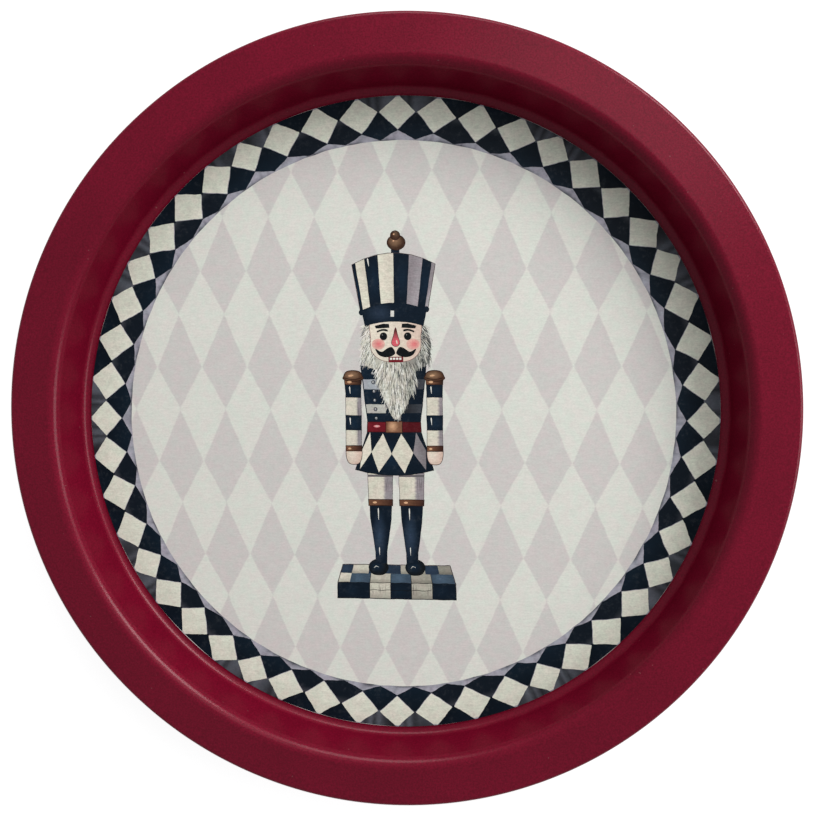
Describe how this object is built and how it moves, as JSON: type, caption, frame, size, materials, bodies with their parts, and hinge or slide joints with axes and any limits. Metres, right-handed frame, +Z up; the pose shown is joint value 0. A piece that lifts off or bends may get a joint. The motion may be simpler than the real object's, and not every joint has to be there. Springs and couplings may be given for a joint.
{
  "type": "serving tray",
  "caption": "Round steel serving tray with a steep wall, flat brim and curled edge, and a printed label on its floor.",
  "frame": {"origin": "centre of the underside of the floor, on the plane the tray rests on", "axes": "+Z up out of the tray, along its axis of symmetry; +Y towards the top of the picture; +X to the picture's right"},
  "size_m": [0.33, 0.33, 0.022],
  "materials": {
    "coated_steel": "satin powder coat with a fine orange peel",
    "adhesive": "matt",
    "printed_film": "matt, printed in colour",
    "clear_film": "clear, finely grained matt"
  },
  "bodies": {
    "root": {"tray_pan": "coated_steel", "label_adhesive": "adhesive", "label_print": "printed_film", "label_laminate": "clear_film"}
  },
  "joints": []
}
